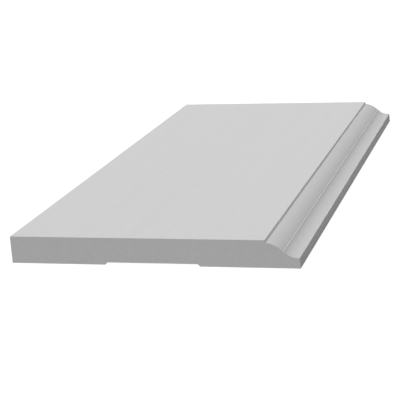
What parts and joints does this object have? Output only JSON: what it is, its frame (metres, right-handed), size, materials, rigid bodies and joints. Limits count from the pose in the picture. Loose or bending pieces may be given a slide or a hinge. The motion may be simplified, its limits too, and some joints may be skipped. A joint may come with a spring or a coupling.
{
  "type": "skirting board length",
  "caption": "Flat skirting board length with a stepped ogee moulded top edge, a thin lip and a shallow relief along its back.",
  "frame": {"origin": "middle of the board's back, on the plane its two back margins rest on", "axes": "+Y along the board, +X across it towards the moulded top edge, +Z out of its face"},
  "size_m": [0.1524, 0.334, 0.0143],
  "materials": {
    "primed_wood": "matte"
  },
  "bodies": {
    "root": {"skirting_board": "primed_wood"}
  },
  "joints": []
}
